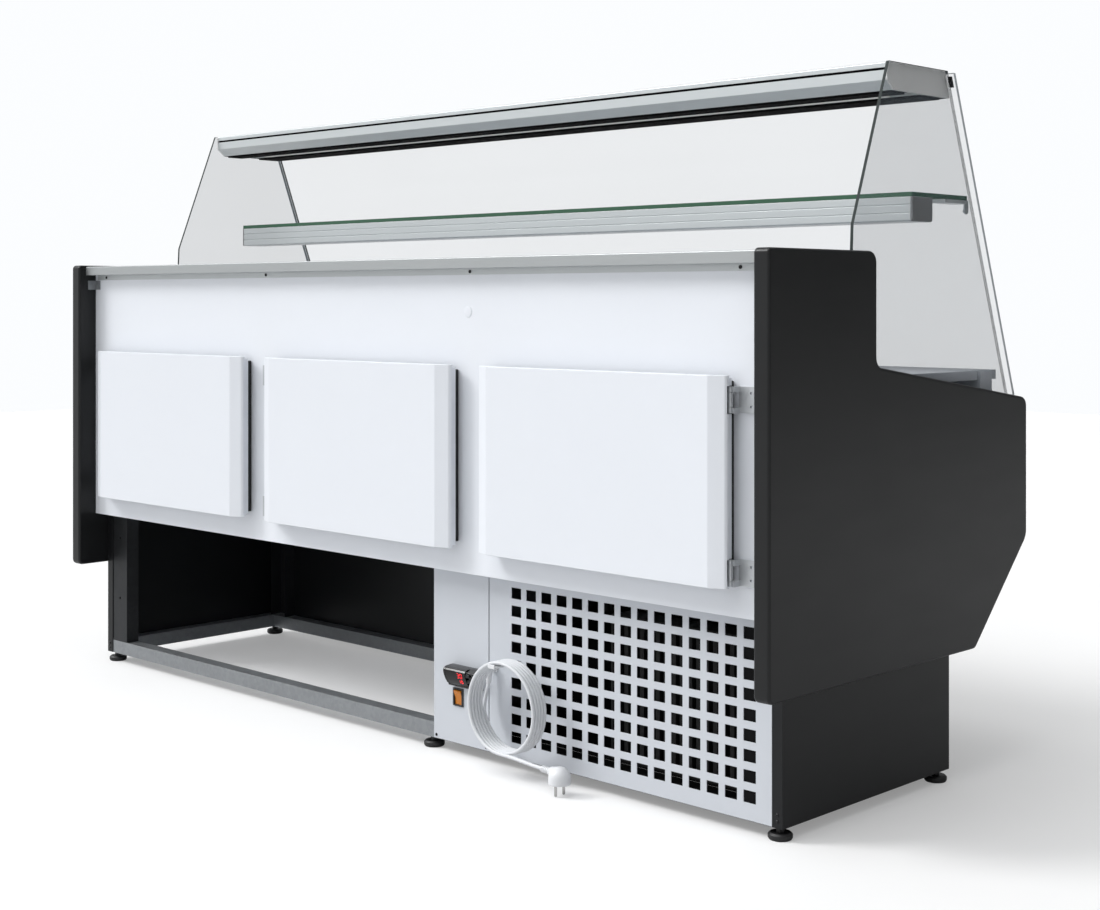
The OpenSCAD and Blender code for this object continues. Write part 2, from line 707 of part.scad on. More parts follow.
plate_z = rail_top + 2;
unit_x = -inner_x + 40;               // end of the condensing unit beside the end panel
condenser_w = 340;
condenser_d = 50;
condenser_y = frame_rear_y - rail_w - 6;
condenser_h = body_z - plate_z - 44;
fan_x = unit_x + condenser_w / 2;
fan_z = plate_z + condenser_h / 2;
fan_r = 95;
fan_y = condenser_y - condenser_d - 26;
motor_r = 32;
motor_l = 50;
shaft_r = 4;
fan_depth = 22;
module unit_base_plate() {
    color(galvanised) block([-inner_x + 28, frame_front_y + rail_w, rail_top],
        [partition_x - rail_w / 2 + 4, frame_rear_y - rail_w, plate_z]);
}
module fins(low, high, count) {
    // a finned pack: slots from both faces leave a web in the middle
    pitch = (high.x - low.x) / count;
    web = (high.y - low.y) * 0.1;
    middle = (low.y + high.y) / 2;
    difference() {
        block(low, high);
        for (i = [0:count - 1], side = [0, 1])
            block([low.x + (i + 0.25) * pitch, side == 0 ? low.y - cut : middle + web, low.z + 6],
                [low.x + (i + 0.75) * pitch, side == 0 ? middle - web : high.y + cut, high.z - 6]);
    }
}
module condenser() {
    color("#6d7275") fins([unit_x, condenser_y - condenser_d, plate_z],
        [unit_x + condenser_w, condenser_y, plate_z + condenser_h], 20);
}
// A motor on its bracket, with its shaft towards +Y; the bracket stands on z0
module fan_motor(x, y, z, z0) {
    rod_y(x, y - motor_l, y - gap, z, motor_r);
    rod_y(x, y - gap, y + fan_depth - 4, z, shaft_r);
    block([x - 20, y - motor_l - 2, z0], [x + 20, y - motor_l, z + 10]);
    block([x - 20, y - motor_l - 30, z0], [x + 20, y - motor_l - 2, z0 + 2]);
}
module fan(x, y, z, r) {
    difference() {
        union() {
            rod_y(x, y, y + fan_depth, z, r * 0.26);
            for (turn = [0:60:300]) translate([x, y + fan_depth / 2, z]) rotate([0, turn, 0])
                rotate([0, 0, 28]) block([-r * 0.2, -1, r * 0.2], [r * 0.2, 1, r * 0.97]);
        }
        rod_y(x, y - cut, y + fan_depth - 4 + gap, z, shaft_r + running);
    }
}
cool_fan_y = cover_y + sheet_t + 6;
module fan_motors() {
    color("#3b3e42") {
        fan_motor(fan_x, fan_y, fan_z, plate_z);
        // the evaporator's motor is turned round, so that its fan is next to the cover
        translate([2 * cool_fan_x, 2 * cool_fan_y + fan_depth, 0]) rotate([0, 0, 180])
            fan_motor(cool_fan_x, cool_fan_y, cool_z, deck_z);
    }
}
module condenser_fan() { color("#c9ccd0") fan(fan_x, fan_y, fan_z, fan_r); }
module evaporator_fan() {
    color("#c9ccd0") translate([2 * cool_fan_x, 2 * cool_fan_y + fan_depth, 0]) rotate([0, 0, 180])
        fan(cool_fan_x, cool_fan_y, cool_z, cool_fan_r);
}
evaporator_x1 = -120;
evaporator_y0 = cover_y + 30;
module evaporator() {
    color(aluminium) fins([pipe_xs[1] + 40, evaporator_y0, deck_z],
        [evaporator_x1, foam_in_y - 12, wall_top - 20], 24);
}
shell_r = 88;
shell_h = 196;
compressor_x = control_x - 110;
compressor_y = condenser_y - 150;
shell_z = plate_z + 14;
module compressor() {
    color(satin_black) translate([compressor_x, compressor_y, 0]) {
        translate([0, 0, shell_z]) rotate_extrude() polygon(rounded([[0, 0, 0], [shell_r - 14, 0, 0],
            [shell_r, 20, 14], [shell_r, shell_h - 40, 60], [0, shell_h, 0]]));
        difference() {
            block([-105, -70, shell_z - 3], [105, 70, shell_z]);
            for (x = [-92, 92], y = [-56, 56]) translate([x, y, shell_z - 3 - cut])
                cylinder(r = 4, h = 3 + 2 * cut);
        }
        for (x = [-92, 92], y = [-56, 56]) translate([x, y, plate_z]) cylinder(r = 10, h = shell_z - 3 - plate_z);
    }
}
// A pipe through a list of points, with a ball elbow at each bend
module pipe(points, r) {
    for (i = [1:len(points) - 1]) link(points[i - 1], points[i], r);
    for (i = [1:len(points) - 2]) translate(points[i]) sphere(r = r * 1.2);
}
module link(a, b, r) {
    d = b - a;
    translate(a) rotate([0, acos(d.z / norm(d)), atan2(d.y, d.x)]) cylinder(r = r, h = norm(d));
}
module refrigerant_pipes() {
    run_z = body_z - 14;
    evaporator_x0 = pipe_xs[1] + 40;
    color(copper) {
        pipe([[compressor_x, compressor_y, shell_z + shell_h - 4], [compressor_x, compressor_y, run_z],
            [pipe_xs[0], compressor_y, run_z], [pipe_xs[0], pipe_ys[0], run_z],
            [pipe_xs[0], pipe_ys[0], cool_z + 20], [evaporator_x0, pipe_ys[0], cool_z + 20]], pipe_rs[0]);
        pipe([[fan_x, pipe_ys[1], plate_z + condenser_h], [fan_x, pipe_ys[1], run_z + 4],
            [pipe_xs[1], pipe_ys[1], run_z + 4], [pipe_xs[1], pipe_ys[1], cool_z - 20],
            [evaporator_x0, pipe_ys[1], cool_z - 20]], pipe_rs[1]);
    }
}

// ---- Controls ----

button_size = [9, 6];
button_gap = 0.25;
button_xs = [controller_x - 22, controller_x - 22];
button_zs = [controller_z + 8, controller_z - 3];
face_y = base_rear_y + controller_d;
module controller() {
    half_w = controller_w / 2;
    half_h = controller_h / 2;
    color("#141416") difference() {
        union() {
            // the bezel has a curved brow over a face that leans back towards the bottom
            along_x(controller_x - half_w, controller_x + half_w) polygon(rounded([
                [base_rear_y, controller_z - half_h, 0], [base_rear_y + 10, controller_z - half_h, 3],
                [face_y - 3, controller_z + half_h - 9, 0], [face_y, controller_z + half_h - 6, 3],
                [base_rear_y + 9, controller_z + half_h, 8], [base_rear_y, controller_z + half_h, 0]]));
            block([controller_x - controller_cut.x / 2, base_rear_y - 58, controller_z - controller_cut.y / 2],
                [controller_x + controller_cut.x / 2, base_rear_y, controller_z + controller_cut.y / 2]);
        }
        for (i = [0:1]) button_block(i, button_gap, base_rear_y + 4, face_y + cut);
    }
}
module button_block(i, grow, y0, y1) {
    wall_plate([button_xs[i] - button_size.x / 2 - grow, button_zs[i] - button_size.y / 2 - grow],
        [button_xs[i] + button_size.x / 2 + grow, button_zs[i] + button_size.y / 2 + grow], y0, y1);
}
// The bezel's leaning face at a height z
function lean_y(z) = let (foot_z = controller_z - controller_h / 2, head_z = controller_z + controller_h / 2 - 9)
    base_rear_y + 10 + (controller_d - 13) * (z - foot_z) / (head_z - foot_z);
module button(i) {
    color("#2c2e31") button_block(i, 0, base_rear_y + 4 + button_travel + gap,
        lean_y(button_zs[i] + button_size.y / 2) + button_travel + 0.5);
}
rocker_w = 18;
rocker_h = 25;
window = [rocker_w + 1, rocker_h + 2.4];
pivot_y = base_rear_y - 3;
pivot_r = 1.5;
housing_d = 20;
module switch_bezel() {
    color("#1b1b1d") difference() {
        union() {
            wall_plate([switch_x - switch_w / 2, switch_z - switch_h / 2],
                [switch_x + switch_w / 2, switch_z + switch_h / 2], base_rear_y, base_rear_y + 2.5);
            wall_plate([switch_x - switch_body.x / 2, switch_z - switch_body.y / 2],
                [switch_x + switch_body.x / 2, switch_z + switch_body.y / 2], base_rear_y - housing_d, base_rear_y);
        }
        wall_plate([switch_x - window.x / 2, switch_z - window.y / 2],
            [switch_x + window.x / 2, switch_z + window.y / 2], base_rear_y - housing_d + 3, base_rear_y + 2.5 + cut);
        rod_x(switch_x - rocker_w / 2 - 1.2, switch_x + rocker_w / 2 + 1.2, pivot_y, switch_z, pivot_r + running);
    }
}
module rocker() {
    color("#e8862a") translate([0, pivot_y, switch_z]) rotate([-rocker_swing / 2, 0, 0]) {
        along_x(switch_x - rocker_w / 2, switch_x + rocker_w / 2)
            polygon([[-5, -4], [-5, 4], [1, rocker_h / 2], [5.5, rocker_h / 2], [3.5, 0], [5.5, -rocker_h / 2],
                [1, -rocker_h / 2]]);
        rod_x(switch_x - rocker_w / 2 - 1, switch_x + rocker_w / 2 + 1, 0, 0, pivot_r);
    }
}

// ---- Cord ----

// The cord's own points are chosen by hand and stay as they are when a size changes.
cord_d = 6.8;
coil_centre = [-390, 120];            // x and z
coil_r = 76.5;                        // middle of the turns
coil_y = [321.6, 364];
lead_points = [[-318, 316, 146], [-315, 318, 131], [-314, 321, 116], [-316, 325, 100]];
tail_points = [[-390, 360, 43.5], [-410, 360, 43], [-430, 360, 42], [-450, 360, 40.5], [-470, 360, 39],
    [-492, 360, 38]];
cord_sides = 10;
// A tube of round section swept along points that stay near one y
module cord(points) {
    n = len(points);
    vertices = [for (i = [0:n - 1])
        let (along = unit(points[min(i + 1, n - 1)] - points[max(i - 1, 0)]), across = cross(along, [0, 1, 0]))
        for (k = [0:cord_sides - 1]) let (a = 360 * k / cord_sides)
        points[i] + cord_d / 2 * (cos(a) * [0, 1, 0] + sin(a) * across)];
    sides = [for (i = [0:n - 2], k = [0:cord_sides - 1]) let (next = (k + 1) % cord_sides)
        [i * cord_sides + k, i * cord_sides + next, (i + 1) * cord_sides + next, (i + 1) * cord_sides + k]];
    first = [for (k = [cord_sides - 1:-1:0]) k];
    last = [for (k = [0:cord_sides - 1]) (n - 1) * cord_sides + k];
    color(white) polyhedron(vertices, concat([first], sides, [last]));
}
module cord_gland() {
    exit = lead_points[0];
    lean = atan2(exit.x - gland_x, gland_z - exit.z);
    color(white) {
        rod_y(gland_x, base_rear_y, base_rear_y + 3, gland_z, gland_r + 3);
        rod_y(gland_x, base_rear_y - 12, exit.y, gland_z, gland_r - 0.1);
        translate([gland_x, exit.y, gland_z]) {
            sphere(r = gland_r + 1);
            rotate([0, 180 - lean, 0]) cylinder(r1 = gland_r, r2 = cord_d / 2 + 0.9,
                h = norm([exit.x - gland_x, exit.z - gland_z]));
        }
    }
}
hook_x = coil_centre.x + 12;
hook_w = 16;
hook_lip = 3.5;         // how far the hook's end stands up in front of the coil
hook_top = coil_centre.y + sqrt(pow(coil_r - cord_d / 2, 2) - pow(hook_x + hook_w / 2 - coil_centre.x, 2)) - gap;
module cord_hook() {
    color(white) {
        block([hook_x - hook_w / 2, base_rear_y, hook_top - 3], [hook_x + hook_w / 2, coil_y[1] + 1.5, hook_top]);
        block([hook_x - hook_w / 2, coil_y[1] + 1.5, hook_top - 3],
            [hook_x + hook_w / 2, coil_y[1] + 4.5, hook_top + hook_lip]);
        block([hook_x - hook_w / 2, base_rear_y, hook_top - 16], [hook_x + hook_w / 2, base_rear_y + 2, hook_top]);
    }
}
module cord_coil() {
    color(white) translate([coil_centre.x, 0, coil_centre.y]) rotate([-90, 0, 0]) rotate_extrude()
        translate([coil_r - cord_d / 2, coil_y[0]]) square([cord_d, coil_y[1] - coil_y[0]]);
}
plug_centre = [-530, 358];            // x and y of the round body
plug_r = 19;
pin_l = 19;
pin_d = 4.8;
pin_pitch = 19;
plug_lift = 0.3;                      // pin tips over the floor
module plug() {
    end = tail_points[len(tail_points) - 1];
    color(white) {
        translate([plug_centre.x, plug_centre.y, plug_lift + pin_l]) rotate_extrude()
            polygon(rounded([[0, 0, 0], [plug_r, 0, 1.5], [plug_r, 16, 4], [plug_r - 6, 27, 5], [0, 29, 0]]));
        // neck and ribbed collar
        rod_x(plug_centre.x, end.x - 16, end.y, end.z - 1, 8);
        rod_x(end.x - 16, end.x, end.y, end.z, 5.5);
        for (side = [-1, 1])
            translate([plug_centre.x, plug_centre.y + side * pin_pitch / 2, plug_lift])
                cylinder(d = pin_d, h = pin_l + 1);
    }
}

base_frame();
base_panels();
partition_panel();
controller_panel();
grille_panel();
foot(0);  // foot_rear_left
foot(1);  // foot_rear_middle
foot(2);  // foot_rear_right
foot(3);  // foot_front_left
foot(4);  // foot_front_right
color(satin_black) end_panel();  // end_panel_left
color(satin_black) mirror([1, 0, 0]) end_panel();  // end_panel_right
rear_skin();
insulation();
tank_liner();
front_fascia();
deck_rails();
deck_trays();
evaporator_cover();
worktop();
worktop_board();
worktop_strip();
side_glasses();
front_glass();
canopy_profile();
canopy_lamp();
shelf_glass();
shelf_profile();
profile_end_caps();
shelf_brackets();
door(0);  // door_left
door(1);  // door_middle
door(2);  // door_right
seal(0);  // seal_left
seal(1);  // seal_middle
seal(2);  // seal_right
hinge_leaves(0);  // hinge_leaves_left
hinge_leaves(1);  // hinge_leaves_middle
hinge_leaves(2);  // hinge_leaves_right
hinge_frame_leaves();
unit_base_plate();
compressor();
condenser();
fan_motors();
condenser_fan();
evaporator();
evaporator_fan();
refrigerant_pipes();
controller();
button(0);  // button_up
button(1);  // button_down
switch_bezel();
rocker();
cord_gland();
cord_hook();
cord(lead_points);  // cord_lead
cord_coil();
cord(tail_points);  // cord_tail
plug();
fixings();
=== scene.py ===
# %% [markdown]
# # A refrigerated serve-over deli case
# The engineering model arrives packed as a frame: every sheet, board and hinge has its real size and
# place, in metres. This lesson dresses that frame. We keep its shapes, give each edge the small
# radius that a real folded sheet or moulded part has, add the pieces that only looks need, and mix
# a finish for every surface from shader nodes.

# %% Load the frame and its record
import bmesh
import bpy
import json
import math
from mathutils import Matrix, Vector


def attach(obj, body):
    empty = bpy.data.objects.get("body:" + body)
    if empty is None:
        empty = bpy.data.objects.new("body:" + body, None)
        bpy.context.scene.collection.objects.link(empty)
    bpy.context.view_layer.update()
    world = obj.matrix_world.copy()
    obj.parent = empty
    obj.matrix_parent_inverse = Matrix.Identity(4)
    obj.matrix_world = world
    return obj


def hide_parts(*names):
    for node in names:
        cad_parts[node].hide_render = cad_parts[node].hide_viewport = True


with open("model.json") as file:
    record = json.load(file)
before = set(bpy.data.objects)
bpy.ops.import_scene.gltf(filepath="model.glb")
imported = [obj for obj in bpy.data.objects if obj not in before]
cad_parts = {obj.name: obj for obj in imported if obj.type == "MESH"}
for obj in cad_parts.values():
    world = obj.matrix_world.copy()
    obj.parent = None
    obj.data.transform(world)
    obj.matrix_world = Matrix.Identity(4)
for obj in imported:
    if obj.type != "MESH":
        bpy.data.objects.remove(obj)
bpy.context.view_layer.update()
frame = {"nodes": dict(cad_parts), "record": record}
record = frame["record"]
slot_of = {part["node"]: part["material_slot"] for part in record["subparts"]}
body_of = {node: body for body, nodes in record["behaviour"]["bodies"].items() for node in nodes}
MM = 0.001

# %% [markdown]
# ## The camera
# The case is looked at from the staff side, from a little below the worktop and close to one end. The
# camera is level, so upright edges stay upright, and a small downward shift of the lens brings the
# feet into the picture, as an architectural photographer would do it.

# %% Set up the camera
lens = bpy.data.cameras.new("camera")
lens.sensor_width = 36
lens.lens = 56.13
lens.shift_y = -0.141
camera = bpy.data.objects.new("camera", lens)
camera.location = (-2.480, 2.383, 0.813)
camera.rotation_euler = (math.radians(90), 0, math.radians(224.24))
bpy.context.scene.collection.objects.link(camera)
bpy.context.scene.camera = camera
bpy.context.scene.view_settings.view_transform = "Standard"
print("camera at", tuple(round(c, 3) for c in camera.location))

# %% [markdown]
# ## The mains cord
# The cord is a fixed length of round flex: it leaves the gland's strain relief, is wound five and a
# bit turns into a coil that hangs on a hook, and its tail runs on to the plug. A curve with a round
# bevel is the natural tool, because its own line is the cord's length. The straight stretches follow
# listed points and the coil is a helix whose pitch is a hair over one cord diameter, so the turns lie
# side by side and still read as separate strands.

# %% Wind the cord
cord_d = 6.4 * MM
coil_x, coil_z, coil_r = -390 * MM, 120 * MM, 76.5 * MM
coil_y0, coil_y1 = 325 * MM, 360.4 * MM
lead = [(-318, 316, 146), (-315, 318, 131), (-314, 321, 116)]
tail = [(-410, 360, 43), (-430, 360, 42), (-450, 360, 40.5), (-470, 360, 39), (-492, 360, 38)]
first_turn, last_turn = math.radians(345), math.radians(270 - 5 * 360)
turn_steps = 188


def on_coil(step):
    share = step / turn_steps
    angle = first_turn + (last_turn - first_turn) * share
    return Vector((coil_x + coil_r * math.cos(angle), coil_y0 + (coil_y1 - coil_y0) * share,
                   coil_z + coil_r * math.sin(angle)))


cord_line = [Vector(p) * MM for p in lead]
cord_line += [on_coil(step) for step in range(turn_steps + 1)]
cord_line += [Vector(p) * MM for p in tail]
flex = bpy.data.curves.new("mains_cord", "CURVE")
flex.dimensions = "3D"
flex.bevel_depth = 1        # times each point's radius, because a curve's box is padded by that radius
flex.bevel_resolution = 4
spline = flex.splines.new("POLY")
spline.points.add(len(cord_line) - 1)
for point, place in zip(spline.points, cord_line):
    point.co = (*place, 1)
    point.radius = cord_d / 2
mains_cord = bpy.data.objects.new("mains_cord", flex)
bpy.context.scene.collection.objects.link(mains_cord)
cord_length = sum((b - a).length for a, b in zip(cord_line, cord_line[1:]))
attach(mains_cord, "case")
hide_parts("cord_lead", "cord_coil", "cord_tail")
print("cord length", round(cord_length, 3))

# %% [markdown]
# ## Writing shaders as sums
# A finish is mostly arithmetic on patterns: a grain times a depth, one minus a mask. The small class
# below wraps a socket so that + - and * add Math nodes, and a recipe's one method adds any other node.
# The recipe of a material ends in a Principled surface, whose fixed numbers are set on its own sockets,
# and the recipe of the world ends in its background.

# %% The shader helpers
class Value:
    def __init__(self, recipe, socket):
        self.recipe, self.socket = recipe, socket

    def maths(self, operation, a, b):
        return self.recipe.node("ShaderNodeMath", {"operation": operation}, {0: a, 1: b})

    def __add__(self, other):
        return self.maths("ADD", self, other)

    def __mul__(self, other):
        return self.maths("MULTIPLY", self, other)

    def __sub__(self, other):
        return self.maths("SUBTRACT", self, other)

    def __rsub__(self, other):
        return self.maths("SUBTRACT", other, self)

    __radd__ = __add__
    __rmul__ = __mul__


class Recipe:
    def __init__(self, name, world=None, **fixed):
        self.material = world or bpy.data.materials.new(name)
        self.material.use_nodes = True
        self.tree = self.material.node_tree
        self.surface = self.tree.nodes["Background" if world else "Principled BSDF"]
        for socket, value in fixed.items():
            self.surface.inputs[socket.replace("_", " ")].default_value = value

    def node(self, kind, settings, inputs, output=0):
        made = self.tree.nodes.new(kind)
        for name, value in settings.items():
            setattr(made, name, value)
        for name, value in inputs.items():
            if isinstance(value, Value):
                self.tree.links.new(value.socket, made.inputs[name])
            else:
                made.inputs[name].default_value = value
        return Value(self, made.outputs[output])

    def place(self, scale=(1, 1, 1)):
        here = self.node("ShaderNodeTexCoord", {}, {}, "Object")
        return self.node("ShaderNodeMapping", {}, {"Vector": here, "Scale": scale})

    def noise(self, size, stretch=(1, 1, 1), detail=3.0, rough=0.5):
        return self.node("ShaderNodeTexNoise", {}, {"Vector": self.place(stretch), "Scale": 1 / size,
                                                    "Detail": detail, "Roughness": rough})

    def blend(self, share, first, second):
        return self.node("ShaderNodeMix", {"data_type": "RGBA"},
                         {"Factor": share, 6: first, 7: second}, 2)

    def feed(self, socket, value):
        self.tree.links.new(value.socket, self.surface.inputs[socket])

    def relief(self, height, depth):
        self.feed("Normal", self.node("ShaderNodeBump", {}, {"Height": height, "Strength": 1.0,
                                                             "Distance": depth}))


def grey(level):
    return (level, level, level, 1)


# %% [markdown]
# ## Powder coat, lacquer and satin black
# Painted sheet is never one flat colour: the coat pools and thins over a hand's width, the surface has
# a faint orange peel, and it is wiped down daily, which leaves dull smears. One function makes all
# three from noise at three sizes, and each finish sets its own colour, depth and gloss.

# %% Coated surfaces
def coated(name, colour, rough, peel=0.6 * MM, depth=0.004 * MM, drift=0.05, smear=0.08, coat=0.0,
           sheen=0.5):
    recipe = Recipe(name, Coat_Weight=coat, Coat_Roughness=0.15, Specular_IOR_Level=sheen)
    cloud = recipe.noise(0.22, detail=2)
    shade = tuple(c * (1 - drift) for c in colour)
    recipe.feed("Base Color", recipe.blend(cloud, (*shade, 1), (*colour, 1)))
    wipes = recipe.noise(0.05, stretch=(0.35, 0.35, 1.6), detail=4)
    recipe.feed("Roughness", wipes * smear + (rough - smear / 2))
    recipe.relief(recipe.noise(peel, detail=1), depth)
    return recipe.material


wall_coat = coated("white_wall_coat", (0.800, 0.825, 0.870), 0.42, drift=0.03)
# A greyer copy of the wall's white coat: partly the panels' own tone, partly painted shade for their
# recessed, less lit places.
greyer_coat_and_painted_shade = coated("greyer_white_coat_with_painted_shade", (0.575, 0.600, 0.642), 0.42, drift=0.03)
door_lacquer = coated("white_door_lacquer", (0.765, 0.790, 0.835), 0.30, peel=2 * MM, depth=0.003 * MM,
                      drift=0.02)
black_board = coated("satin_black_laminate", (0.0085, 0.0090, 0.0098), 0.36, peel=0.5 * MM, depth=0.012 * MM,
                     drift=0.25, smear=0.10, sheen=0.36)
black_sheet = coated("satin_black_sheet", (0.0085, 0.0090, 0.0100), 0.36, drift=0.2, sheen=0.30)
black_enamel = coated("black_enamel", (0.008, 0.008, 0.009), 0.25, drift=0.3, sheen=0.3)
black_gloss = coated("black_gloss_lens", (0.004, 0.004, 0.0045), 0.14, peel=3 * MM, depth=0.002 * MM,
                     sheen=0.35)
print("coated finishes ready")

# %% [markdown]
# ## Bare metals
# Brushed and rolled metals show a grain that runs one way, so their noise is stretched along the
# length. Galvanised steel instead shows spangle: flat crystals a few millimetres wide that each
# catch the light differently, which is a cell pattern used for both colour and roughness.

# %% Metal surfaces
def brushed(name, colour, rough, stretch=(0.02, 1, 1), grain=1.2 * MM, contrast=0.12, metal=1.0):
    recipe = Recipe(name, Metallic=metal)
    lines = recipe.noise(grain, stretch=stretch, detail=5, rough=0.65)
    shade = tuple(c * (1 - contrast) for c in colour)
    recipe.feed("Base Color", recipe.blend(lines, (*shade, 1), (*colour, 1)))
    wear = recipe.noise(0.09, detail=3)
    recipe.feed("Roughness", lines * 0.12 + wear * 0.10 + (rough - 0.11))
    recipe.relief(lines, 0.01 * MM)
    return recipe.material


def spangled(name, colour, rough):
    recipe = Recipe(name, Metallic=0.75)
    cells = recipe.node("ShaderNodeTexVoronoi", {}, {"Vector": recipe.place(), "Scale": 1 / (7 * MM)},
                        "Color")
    tone = recipe.node("ShaderNodeRGBToBW", {}, {"Color": cells})
    shade = tuple(c * 0.8 for c in colour)
    recipe.feed("Base Color", recipe.blend(tone, (*shade, 1), (*colour, 1)))
    recipe.feed("Roughness", tone * 0.16 + recipe.noise(0.03) * 0.10 + (rough - 0.13))
    recipe.relief(recipe.noise(1.5 * MM), 0.01 * MM)
    return recipe.material


stainless = brushed("brushed_stainless", (0.58, 0.605, 0.61), 0.42, metal=0.6)
worktop_steel = brushed("worktop_steel", (0.46, 0.48, 0.485), 0.42, metal=0.6)
anodised = brushed("anodised_aluminium", (0.64, 0.675, 0.685), 0.36, contrast=0.06, metal=0.55)
hinge_steel = brushed("hinge_steel", (0.62, 0.64, 0.66), 0.35, stretch=(1, 1, 0.05), metal=0.6)
pin_metal = brushed("plug_pin_nickel", (0.62, 0.61, 0.60), 0.25, stretch=(1, 1, 0.1))
# The condenser's fins are black as painted shade, so the machine space reads dark through the grille.
fins_black_as_painted_shade = brushed("painted_shade_fins", (0.012, 0.012, 0.013), 0.6, stretch=(1, 1, 0.05), metal=0.2)
fin_metal = brushed("dull_fin_aluminium", (0.50, 0.52, 0.53), 0.5, stretch=(1, 1, 0.05))
galvanised = spangled("galvanised_steel", (0.34, 0.355, 0.37), 0.46)
# A darker copy of the rails' zinc for the posts: painted shade.
zinc_in_painted_shade = spangled("painted_shade_zinc_post", (0.045, 0.047, 0.050), 0.46)
print("metal finishes ready")

# %% [markdown]
# ## Plastics, rubber, foam and board
# Moulded plastic carries the fine spark texture of its mould, rubber is the same with more drag, and
# foam and sealed board are coarse grains of two tones. The same three-part idea as the coats serves all.

# %% Moulded and porous surfaces
def moulded(name, colour, rough, grain=0.4 * MM, depth=0.015 * MM, mottling=0.12):
    recipe = Recipe(name)
    spots = recipe.noise(6 * MM, detail=4)
    shade = tuple(c * (1 - mottling) for c in colour)
    recipe.feed("Base Color", recipe.blend(spots, (*shade, 1), (*colour, 1)))
    recipe.feed("Roughness", recipe.noise(0.02, detail=3) * 0.12 + (rough - 0.06))
    recipe.relief(recipe.noise(grain, detail=2), depth)
    return recipe.material


cap_grey = moulded("grey_cap_plastic", (0.84, 0.84, 0.83), 0.5, mottling=0.05)
cap_dark = moulded("dark_cap_plastic", (0.20, 0.205, 0.21), 0.5, mottling=0.05)
# Matt black: the real black of the canopy's underside, its ribs, the compressor and the fan motors, and
# painted shade on the frame and base plate behind the grille and in the canopy's groove.
matt_black_and_painted_shade = coated("black_moulding_and_painted_shade", (0.004, 0.004, 0.0045), 0.75, sheen=0.08)
black_plastic = moulded("black_moulded_plastic", (0.013, 0.013, 0.015), 0.32, mottling=0.3)
white_plastic = moulded("white_moulded_plastic", (0.74, 0.75, 0.77), 0.33, depth=0.005 * MM, mottling=0.03)
cord_sheath = moulded("white_cord_sheath", (0.70, 0.715, 0.74), 0.38, depth=0.008 * MM, mottling=0.04)
seal_rubber = moulded("black_seal_rubber", (0.012, 0.012, 0.013), 0.6, mottling=0.3)
foot_rubber = moulded("black_foot_rubber", (0.012, 0.012, 0.013), 0.5, mottling=0.3)
amber = moulded("amber_rocker_plastic", (0.62, 0.20, 0.015), 0.26, depth=0.003 * MM, mottling=0.18)
opal = moulded("opal_diffuser", (0.80, 0.80, 0.77), 0.4, mottling=0.03)
rigid_foam = moulded("rigid_foam", (0.62, 0.64, 0.66), 0.85, grain=1.5 * MM, depth=0.2 * MM)
sealed_board = moulded("grey_sealed_board", (0.42, 0.44, 0.46), 0.7, grain=2 * MM, depth=0.05 * MM)
lagging = moulded("black_pipe_lagging", (0.008, 0.008, 0.009), 0.8, grain=1.5 * MM, depth=0.1 * MM)
print("moulded finishes ready")

# %% [markdown]
# ## Glass and glowing digits
# Float glass is clear across its thickness and dark or green along its polished edge, because there
# the eye looks through the whole pane. So each pane gets two finishes: one for its faces, one for its
# edges. Faint wiping streaks live in the roughness.

# %% Glass and light
def pane(name, tint, cover, rough=0.04):
    recipe = Recipe(name, IOR=1.45)
    recipe.feed("Base Color", recipe.blend(recipe.noise(0.4, detail=1), (*tint, 1),
                                           (*[c * 0.9 for c in tint], 1)))
    recipe.feed("Roughness", recipe.noise(0.08, stretch=(1, 1, 0.2)) * 0.03 + rough)
    recipe.feed("Alpha", recipe.noise(0.5, detail=1) * 0.02 + (cover - 0.01))
    return recipe.material


def glow(name, colour, strength):
    recipe = Recipe(name, Emission_Strength=strength)
    recipe.feed("Emission Color", recipe.blend(recipe.noise(2 * MM), (*[c * 0.8 for c in colour], 1),
                                               (*colour, 1)))
    recipe.feed("Base Color", recipe.blend(recipe.noise(1 * MM), grey(0.02), (*colour, 1)))
    return recipe.material


side_glass = pane("side_glass", (0.18, 0.21, 0.24), 0.155)
front_pane = pane("front_glass_pane", (0.30, 0.34, 0.38), 0.09)
shelf_pane = pane("shelf_glass_pane", (0.20, 0.32, 0.26), 0.12)
light_edge = moulded("light_glass_edge", (0.50, 0.54, 0.56), 0.15, depth=0.002 * MM)
dark_edge = coated("dark_glass_edge", (0.036, 0.045, 0.044), 0.6, sheen=0.15)
green_edge = moulded("green_glass_edge", (0.035, 0.12, 0.065), 0.12, depth=0.002 * MM)
red_digits = glow("red_led_digits", (1.0, 0.02, 0.03), 2.2)
print("glass ready")

# %% [markdown]
# ## Softening the edges of a frame piece
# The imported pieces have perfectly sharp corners, which never catch a highlight. Instead of drawing
# each piece again, we copy its mesh, merge the loose triangles, dissolve the flat ones into whole
# faces and bevel every sharp edge by the radius the real process leaves: half a millimetre on folded
# sheet, two on a moulded door, five on a laminated end panel. A Weighted Normal modifier then lets the
# large faces decide the shading, so they stay flat up to their rounded edges. The copy stands for the
# node, which stays as it was for the physics.

